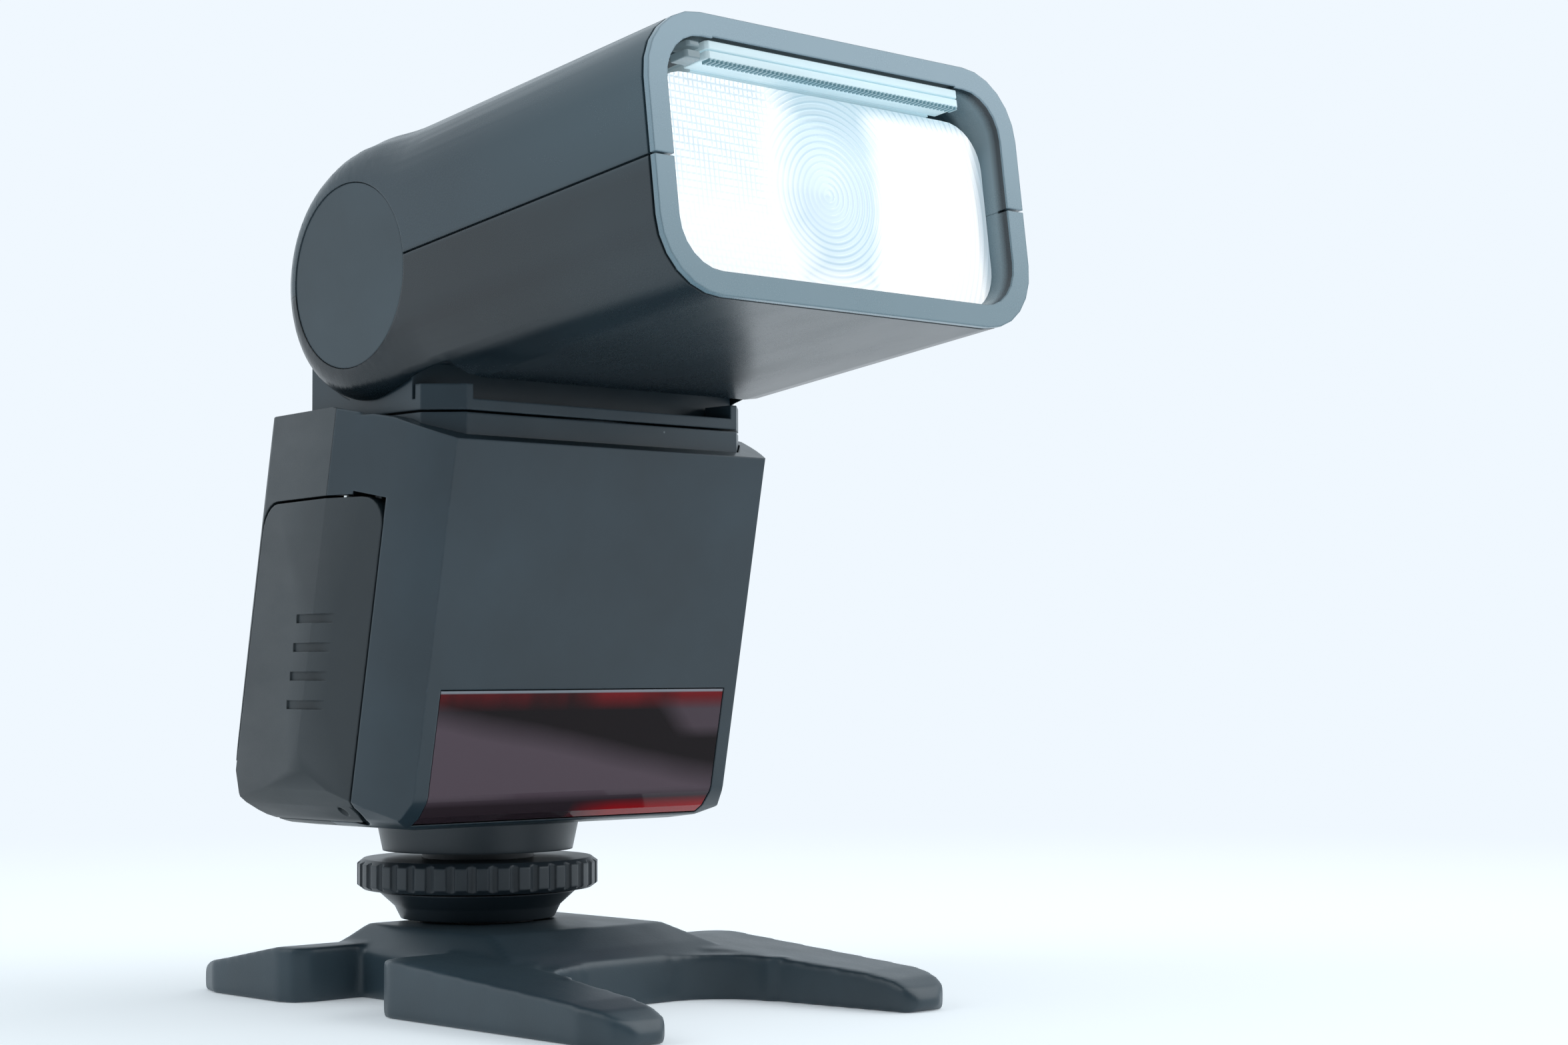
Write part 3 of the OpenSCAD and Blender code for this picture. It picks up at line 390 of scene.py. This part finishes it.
def lens_look():
    """Moulded flash lens that glows with painted light standing for its lit reflector: painted
    bright zones to both sides and along the foot, a paler band in the middle, fine rings about the
    centre, a mesh across the left half and painted shade at its right end."""
    look = Look("lens_bright")
    across, _, up = head_local(look)
    height = look.total(up, 0.0006)
    radius = look.math("SQRT", look.total(look.product(across, across),
                                          look.product(height, height)))
    rings = waves(look, radius, RING_PITCH * MM)
    mesh = look.greatest(waves(look, height, 0.00085), waves(look, across, 0.0007))
    wander = look.product(look.math("SUBTRACT", look.noise(70, 3, 0.5), 0.5), 0.010)
    lean = look.total(across, wander, look.product(height, 0.10))

    # painted light: bright zones to both sides and along the foot, standing for the lit reflector
    left = look.spread(lean, -0.0085, -0.0035, 1.0, 0.0)
    right = look.product(look.spread(lean, 0.0055, 0.0085), look.spread(height, 0.0118, 0.0103))
    foot = look.product(look.spread(height, -0.0080, -0.0105, 0.0, 0.8),
                        look.spread(lean, 0.0110, 0.0060, 0.4, 1.0))
    # painted shade: less brightness and a darker tone at the lens's right end
    edge = look.spread(across, 0.0252, 0.0268)
    painted_glare = look.product(look.greatest(left, right, foot),
                         look.math("SUBTRACT", 1.0, look.product(edge, 0.6)))

    ring_dark = look.product(look.spread(rings, 0.2, 1.0),
                             look.spread(painted_glare, 0.1, 0.9, 0.55, 0.05),
                             look.spread(radius, 0.0030, 0.0060, 0.15, 1.0))
    mesh_dark = look.product(mesh, look.spread(lean, -0.0060, -0.0100))
    mesh_dark = look.product(look.spread(mesh_dark, 0.2, 1.0, 0.0, 0.55),
                             look.spread(height, -0.004, 0.004, 0.25, 1.0))

    shown = look.mix(look.spread(height, 0.004, 0.0115), rgb(214, 227, 237), rgb(196, 214, 221))
    shown = look.mix(painted_glare, shown, rgb(255, 255, 255))
    shown = look.mix(look.greatest(ring_dark, mesh_dark), shown, rgb(158, 188, 202))
    shown = look.mix(look.product(edge, 0.55), shown, rgb(128, 150, 160))
    base = look.mix(0.25, rgb(96, 124, 138), shown)
    # the lens glows: painted light through its emission
    return look.shader(Base_Color=base, IOR=1.49,
                       Roughness=look.spread(look.noise(260, 3, 0.6), 0.3, 0.7, 0.10, 0.16),
                       Normal=look.bump(rings, 0.00003, 0.35),
                       Emission_Color=shown, Emission_Strength=0.80)


# ---------------------------------------------------------------- finishes of the CAD nodes
def paint(material, *names):
    """Give CAD nodes this material."""
    for name in names:
        mesh = nodes[name].data
        mesh.materials.clear()
        mesh.materials.append(material)


stand_dark = moulded("stand_moulded", rgb(48, 64, 73), 0.38, grain=0.00002, grain_scale=3800,
                     specks=0.9, seed=0.31)
head_dark = head_shell_look()
lens_bright = lens_look()


def paint_housing():
    paint(moulded("housing_moulded", rgb(39, 55, 64), 0.34, specks=0.4),
          "front_shell", "turret", "yoke")
    paint(moulded("grip_moulded", rgb(29, 39, 44), 0.44, specks=0.3, seed=0.43),
          "rear_shell", "battery_door")
    paint(moulded("cap_moulded", rgb(46, 62, 70), 0.33, seed=0.12),
          "tilt_cap_left", "tilt_cap_right")
    paint(moulded("foot_moulded", rgb(34, 44, 51), 0.38, seed=0.77),
          "shoe_foot", "foot_collar", "lock_plate", "lock_ring")
    paint(moulded("key_moulded", rgb(40, 50, 56), 0.5, seed=0.5),
          "button_1", "button_2", "button_3", "button_4", "dial_ring", "set_button",
          "power_switch", "battery_cradle")
    paint(mottled("test_key_red", rgb(176, 52, 40), 0.3), "test_button")
    paint(head_dark, "head_upper", "head_lower")
    paint(stand_dark, "stand_base")


def paint_optics():
    paint(window_look(), "sensor_window")
    paint(mottled("assist_lens", rgb(214, 120, 104), 0.15), "assist_lamp")
    paint(plate_look("panel_clear", rgb(206, 228, 234)), "wide_panel")
    paint(mottled("card_white", rgb(232, 236, 238), 0.35), "bounce_card")
    paint(lens_bright, "fresnel_lens")
    paint(clear("tube_clear", (0.95, 0.97, 0.98, 1.0), 0.0), "flash_tube")
    paint(metal("reflector_polished", (0.93, 0.95, 0.97, 1.0), 0.08), "reflector")
    paint(clear("display_clear", (0.80, 0.84, 0.83, 1.0), 0.02), "lcd_window")
    paint(mottled("display_unlit", rgb(120, 132, 122), 0.25), "lcd_module")


def paint_inner_parts():
    paint(metal("steel_turned", (0.55, 0.56, 0.58, 1.0), 0.25),
          "guide_rod", "lead_screw", "tilt_pin_left", "tilt_pin_right", "pan_nut",
          "cell_spring_lower", "cell_spring_upper", "zoom_motor")
    # the pin's near black is painted shade: it keeps the hinge gap dark
    paint(metal("pin_dark_painted_shade", (0.05, 0.055, 0.06, 1.0), 0.35), "door_hinge_pin")
    paint(metal("bronze_sheet", (0.72, 0.50, 0.25, 1.0), 0.28), "pan_spring", "door_contact")
    paint(metal("brass_turned", (0.78, 0.60, 0.28, 1.0), 0.22), "thread_insert")
    paint(metal("gold_plated", (0.95, 0.72, 0.34, 1.0), 0.18),
          "contact_1", "contact_2", "contact_3", "contact_4", "contact_5")
    paint(mottled("carriage_white", rgb(222, 224, 226), 0.5), "zoom_carriage")
    paint(mottled("cell_film", rgb(92, 98, 104), 0.3, metallic=0.3), "cell_lower", "cell_upper")
    paint(printed_board(), "sensor_board", "main_board", "key_board")
    paint(mottled("capacitor_sleeve", rgb(30, 30, 36), 0.35), "capacitor")
    paint(mottled("transformer_tape", rgb(196, 160, 60), 0.45), "transformer")


paint_housing()
paint_optics()
paint_inner_parts()

for name in ("front_shell", "rear_shell", "battery_door", "yoke", "turret"):
    dress(name, 0.0002)


# ---------------------------------------------------------------- stand skin
def corner_blend(shape, side):
    """Closed prism whose hollow arc runs from the platform's front wall into a front leg."""
    radius, top = 9.0, 5.75
    middle_x, middle_y = 7.0, -39.9     # of the arc
    inside_x, inside_y = 17.0, -30.0    # buried in the platform
    leg_x, leg_y = 18.0, -41.5          # buried in the leg
    plan = [(inside_x, inside_y), (middle_x, inside_y)]
    for degrees in range(0, 99, 9):
        turn = math.radians(degrees)
        plan.append((middle_x + radius * math.sin(turn), middle_y + radius * math.cos(turn)))
    plan.append((leg_x, leg_y))
    low, high = [[shape.verts.new((side * x * MM, y * MM, z * MM)) for x, y in plan]
                 for z in (0.0, top)]
    made = [shape.faces.new(low), shape.faces.new(high)]
    for i in range(len(plan)):
        j = (i + 1) % len(plan)
        made.append(shape.faces.new((low[i], low[j], high[j], high[i])))
    bmesh.ops.recalc_face_normals(shape, faces=made)


def stand_skin():
    """Copy of the CAD stand with its front corners blended and every edge rounded softly."""
    shape = bmesh.new()
    shape.from_mesh(nodes["stand_base"].data)
    bmesh.ops.remove_doubles(shape, verts=shape.verts, dist=0.000002)
    for side in (-1, 1):
        corner_blend(shape, side)
    mesh = bpy.data.meshes.new("stand_skin")
    shape.to_mesh(mesh)
    shape.free()
    made = add("stand_skin", mesh, stand_dark, "stand")
    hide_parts("stand_base")
    grid = made.modifiers.new("grid", "REMESH")
    grid.mode = "VOXEL"
    grid.voxel_size = 0.00038
    grid.use_smooth_shade = True
    soft = made.modifiers.new("soft", "SMOOTH")
    soft.factor = 0.5
    soft.iterations = 14
    made.modifiers.new("thin", "DECIMATE").ratio = 0.22


stand_skin()


# ---------------------------------------------------------------- head skins
def head_profile():
    """Side view of the head, (y, z) points from the front of the upper face round the tilt barrel
    to the front of the lower face."""
    profile = [(y, HEAD_TOP) for y in (RIM_FACE, -40, -30, -25, -21, -18, -16, -14, -12, -10)]
    for step in range(13):      # curve from the upper face down to the barrel
        t = step / 12
        profile.append(((1 - t) ** 2 * -8 + 2 * t * (1 - t) * -0.99 + t * t * 6.26,
                        (1 - t) ** 2 * HEAD_TOP + 2 * t * (1 - t) * HEAD_TOP + t * t * 14.07))
    for degrees in range(62, -91, -4):
        turn = math.radians(degrees)
        profile.append((BARREL * math.cos(turn), BARREL * math.sin(turn)))
    profile += [(y, -BARREL) for y in (-1.5, -3, -4.5, -6, -7.5, -9, -10.5, -12, -14, -16, -19,
                                       -25, -35, RIM_FACE)]
    return profile


def edge_radius(y):
    """Rounding of the head's long edges: 3.85 mm at the barrel, growing to 8.5 mm ahead of it."""
    t = min(1.0, max(0.0, (4 - y) / 17))
    return 3.85 + 4.65 * t * t * (3 - 2 * t)


def head_loft():
    """Search tree of the head's outer form, in head millimetres, with that rounding."""
    profile, steps = head_profile(), 10
    points = []
    for i, (y, z) in enumerate(profile):
        before, after = profile[max(i - 1, 0)], profile[min(i + 1, len(profile) - 1)]
        dy, dz = after[0] - before[0], after[1] - before[1]
        long = math.hypot(dy, dz)
        out_y, out_z = -dz / long, dy / long
        radius = edge_radius(y)
        for side in (-1, 1):
            for k in range(steps + 1):
                turn = math.radians(90 * k / steps)
                inset = radius * (1 - math.sin(turn))
                points.append(Vector((side * (HEAD_HALF - radius * (1 - math.cos(turn))),
                                      y - inset * out_y, z - inset * out_z)))
    row = 2 * (steps + 1)
    faces = []
    for a in range(0, row * (len(profile) - 1), row):
        b = a + row
        for side in (0, steps + 1):
            faces += [(a + side + k, a + side + k + 1, b + side + k + 1, b + side + k)
                      for k in range(steps)]
        faces.append((a + steps, a + row - 1, b + row - 1, b + steps))
    for side in (0, steps + 1):
        faces.append(tuple(i * row + side for i in range(len(profile))))
    return BVHTree.FromPolygons(points, faces)


def stays(x, y, z):
    """Whether a point of the head isn't part of the rounding: the inside, the front part, where
    the solid is right, the parting line, and the seats of the round caps."""
    inner = 20 if z > 0 else CHEEK - 0.06
    cap_seat = math.hypot(y, z) < 11.8 and abs(x) > 27
    return abs(x) < inner or y < -15.5 or abs(z) < 3.0 or cap_seat


def head_skin(name, loft):
    """Copy of a CAD half of the head whose outside is drawn onto the loft."""
    farthest = 1.35      # what lies deeper is another surface
    first_cut, cut_pitch, cuts = -15.3, 0.57, 54
    shape = bmesh.new()
    shape.from_mesh(nodes[name].data)
    shape.transform(Matrix.Scale(1000, 4) @ HEAD.inverted())
    bmesh.ops.remove_doubles(shape, verts=shape.verts, dist=0.002)
    for k in range(cuts):      # cuts across, so that the outside can bend
        everything = list(shape.verts) + list(shape.edges) + list(shape.faces)
        bmesh.ops.bisect_plane(shape, geom=everything, plane_co=(0, first_cut + cut_pitch * k, 0),
                               plane_no=(0, 1, 0), dist=0.0001)
    for vert in shape.verts:
        x, y, z = vert.co
        if stays(x, y, z):
            continue
        at, _, _, gap = loft.find_nearest(vert.co)
        if gap < farthest:
            neck_wall = abs(abs(x) - CHEEK) < 0.06
            vert.co = (x, at.y, at.z) if neck_wall else at
    shape.transform(HEAD @ Matrix.Scale(MM, 4))
    bmesh.ops.dissolve_degenerate(shape, edges=shape.edges, dist=0.000002)
    shape.normal_update()
    for face in shape.faces:
        face.smooth = True
    for edge in shape.edges:
        edge.smooth = (len(edge.link_faces) == 2
                       and edge.calc_face_angle(0) < math.radians(26))
    mesh = bpy.data.meshes.new(name + "_skin")
    shape.to_mesh(mesh)
    shape.free()
    made = add(name + "_skin", mesh, head_dark, "head")
    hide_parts(name)
    made.modifiers.new("shade", "WEIGHTED_NORMAL").keep_sharp = True


head_form = head_loft()
for name in ("head_upper", "head_lower"):
    head_skin(name, head_form)


# ---------------------------------------------------------------- lens
def lens_edge(x, z):
    """Distance of a point from the lens outline, negative inside, about the lens's middle."""
    dx = abs(x) - (LENS_HALF_WIDE - LENS_CORNER)
    dz = abs(z) - (LENS_HALF_HIGH - LENS_CORNER)
    return math.hypot(max(dx, 0), max(dz, 0)) + min(max(dx, dz), 0) - LENS_CORNER


def lens_reach(turn):
    """Distance from the lens's middle to its outline in one direction, by halving."""
    low, high = 5.0, 40.0
    for _ in range(30):
        mid = (low + high) / 2
        if lens_edge(mid * math.cos(turn), mid * math.sin(turn)) < 0:
            low = mid
        else:
            high = mid
    return low


def lens_optic():
    """Flash lens with stepped rings on its face; they fade out towards its edge."""
    around, ring_depth, ring_count = 192, 0.16, 37
    fade_width = 0.6
    turns = [2 * math.pi * i / around for i in range(around)]
    reach = [lens_reach(turn) for turn in turns]
    circles = []
    for k in range(1, ring_count + 1):
        circles += [(k * RING_PITCH - 0.06, ring_depth), (k * RING_PITCH, 0.0)]

    points = [(0, LENS_FACE, LENS_LIFT)]
    rows = []
    for radius, sink in circles:
        rows.append(range(len(points), len(points) + around))
        for turn, far in zip(turns, reach):
            held = min(radius, far)
            fade = min(1.0, max(0.0, (far - held) / fade_width))
            points.append((held * math.cos(turn), LENS_FACE + sink * fade,
                           held * math.sin(turn) + LENS_LIFT))
    back = range(len(points), len(points) + around)
    rows.append(back)
    points += [(far * math.cos(turn), LENS_BACK, far * math.sin(turn) + LENS_LIFT)
               for turn, far in zip(turns, reach)]

    faces = [(0, rows[0][(i + 1) % around], rows[0][i]) for i in range(around)]
    for inner, outer in zip(rows, rows[1:]):
        for i in range(around):
            j = (i + 1) % around
            faces.append((inner[i], inner[j], outer[j], outer[i]))
    faces.append(tuple(back))

    made = head_piece("lens_optic", points, faces, lens_bright, "head", "clear_plastic")
    shape = bmesh.new()
    shape.from_mesh(made.data)
    bmesh.ops.remove_doubles(shape, verts=shape.verts, dist=0.000004)
    bmesh.ops.dissolve_degenerate(shape, edges=shape.edges, dist=0.000003)
    bmesh.ops.recalc_face_normals(shape, faces=shape.faces)
    shape.to_mesh(made.data)
    shape.free()
    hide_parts("fresnel_lens")


lens_optic()


# ---------------------------------------------------------------- lips, ribs and stops
def bar(low, high, ends=0.35):
    """Bar between two corners, its front corners cut by ends: points and faces."""
    (x0, y0, z0), (x1, y1, z1) = low, high
    outline = [(x0 + ends, y0), (x1 - ends, y0), (x1, y0 + ends), (x1, y1), (x0, y1),
               (x0, y0 + ends)]
    points = [(x, y, z) for z in (z0, z1) for x, y in outline]
    count = len(outline)
    faces = [tuple(range(count))[::-1], tuple(range(count, 2 * count))]
    faces += [(i, (i + 1) % count, count + (i + 1) % count, count + i) for i in range(count)]
    return points, faces


def joined(parts):
    """Several sets of points and faces as one."""
    points, faces = [], []
    for more_points, more_faces in parts:
        start = len(points)
        points += more_points
        faces += [tuple(start + i for i in face) for face in more_faces]
    return points, faces


def pull_lip(name, material, body, bottom, top):
    """Clear lip in front of a plate, which a finger pulls it out by."""
    made = head_piece(name, *bar((-20.6, -58.45, bottom), (20.7, -54.25, top)), material, body,
                      "clear_plastic")
    soften(made, 0.00014)


def lip_ribs():
    """Row of small ribs under the panel's lip."""
    first, pitch, count, half_wide = -20.2, 0.66, 62, 0.17
    ribs = []
    for k in range(count):
        x = first + pitch * k
        ribs.append(bar((x - half_wide, -58.5, 11.80), (x + half_wide, -57.2, 12.15), 0.06))
    head_piece("panel_lip_ribs", *joined(ribs), plate_look("lip_rib_teal", rgb(120, 156, 166)),
               "panel", "clear_plastic")


def plate_stops():
    """Two smoke grey stops at the left end of the lips."""
    stops = [bar((-23.6, -58.2, 12.0), (-21.2, -55.4, 12.95), 0.3),
             bar((-23.2, -58.2, 13.35), (-21.2, -55.4, 14.1), 0.3)]
    made = head_piece("plate_stops", *joined(stops), plate_look("stop_smoke", rgb(128, 146, 152)),
                      "head", "clear_plastic")
    soften(made, 0.00015)


lip_clear = plate_look("lip_clear", rgb(214, 236, 242))
pull_lip("panel_lip", lip_clear, "panel", 12.15, 13.15)
pull_lip("card_lip", lip_clear, "card", 13.30, 14.35)
lip_ribs()
plate_stops()


# ---------------------------------------------------------------- room, floor and lamps
def studio():
    """White room seen by the camera and in gloss, dimmer on the photographer's side."""
    world = bpy.data.worlds.new("studio")
    scene.world = world
    world.use_nodes = True
    room = Nodes(world.node_tree)
    way = room.node("ShaderNodeTexCoord").outputs["Generated"]
    toward = room.vector("DOT_PRODUCT", way, (-0.64, -0.76, -0.05))
    level = room.eased(toward, 0.25, 0.95, 1.0, 0.22)
    rays = room.node("ShaderNodeLightPath").outputs
    shown = room.node("ShaderNodeBackground", {"Color": PALE, "Strength": 1.0}).outputs[0]
    gloss = room.node("ShaderNodeBackground", {
        "Color": (0.84, 0.93, 1.0, 1.0), "Strength": level}).outputs[0]
    light = room.node("ShaderNodeBackground", {
        "Color": (0.90, 0.96, 1.0, 1.0), "Strength": room.product(level, 0.66)}).outputs[0]
    unseen = room.mix_shader(rays["Is Glossy Ray"], light, gloss)
    direct = room.greatest(rays["Is Camera Ray"], rays["Is Transmission Ray"])
    room.node("ShaderNodeOutputWorld", {"Surface": room.mix_shader(direct, unseen, shown)})


def pale_floor():
    """Matte table near the object, running out into the same white as the room."""
    half = 8
    mesh = bpy.data.meshes.new("floor")
    mesh.from_pydata([(-half, -half, 0), (half, -half, 0), (half, half, 0), (-half, half, 0)], [],
                     [(0, 1, 2, 3)])
    floor = bpy.data.objects.new("floor", mesh)
    scene.collection.objects.link(floor)
    look = Look("floor_pale")
    tone = look.mix(look.spread(look.noise(3.0, 2, 0.5), 0.3, 0.7),
                    (0.93, 0.975, 1.0, 1.0), (0.91, 0.965, 1.0, 1.0))
    table = look.node("ShaderNodeBsdfPrincipled", {
        "Base Color": tone, "Roughness": 0.7, "IOR": 1.2,
        "Normal": look.bump(look.noise(900, 3, 0.5), 0.00002, 0.2),
        "Emission Color": PALE, "Emission Strength": 0.24}).outputs[0]
    white = look.node("ShaderNodeEmission", {"Color": PALE, "Strength": 1.0}).outputs[0]
    away = look.node("ShaderNodeVectorMath", {0: look.coords}, operation="LENGTH").outputs["Value"]
    both = look.mix_shader(look.eased(away, 0.10, 0.42), table, white)
    look.tree.links.new(both, look.out.inputs["Surface"])
    mesh.materials.append(look.material)


def lamp(name, place, aim, size, power, colour):
    """Round area lamp at a place, turned to an aim point."""
    data = bpy.data.lights.new(name, "AREA")
    data.shape = "DISK"
    data.size = size
    data.energy = power
    data.color = colour
    made = bpy.data.objects.new(name, data)
    scene.collection.objects.link(made)
    made.location = place
    made.rotation_mode = "QUATERNION"
    made.rotation_quaternion = (Vector(aim) - Vector(place)).to_track_quat("-Z", "Y")


studio()
pale_floor()
lamp("key", (0.62, -0.58, 0.80), (0, 0, 0.05), 1.3, 6.0, (0.97, 0.99, 1.0))
lamp("fill", (-0.85, 0.35, 0.75), (0, 0, 0.07), 0.8, 1.8, (0.93, 0.98, 1.0))


# ---------------------------------------------------------------- camera
def photo_camera():
    """Camera at the photograph's place, as solved from its perspective."""
    data = bpy.data.cameras.new("camera")
    data.sensor_width = 36.0
    data.lens = 64.38
    data.clip_start = 0.02
    camera = bpy.data.objects.new("camera", data)
    scene.collection.objects.link(camera)
    right = Vector((0.726584, -0.687063, -0.004474))
    up = Vector((-0.033339, -0.041759, 0.998571))
    turn = Matrix((right, up, right.cross(up))).transposed().to_4x4()
    camera.matrix_world = Matrix.Translation((-0.228553, -0.301287, 0.04179)) @ turn
    scene.camera = camera


photo_camera()
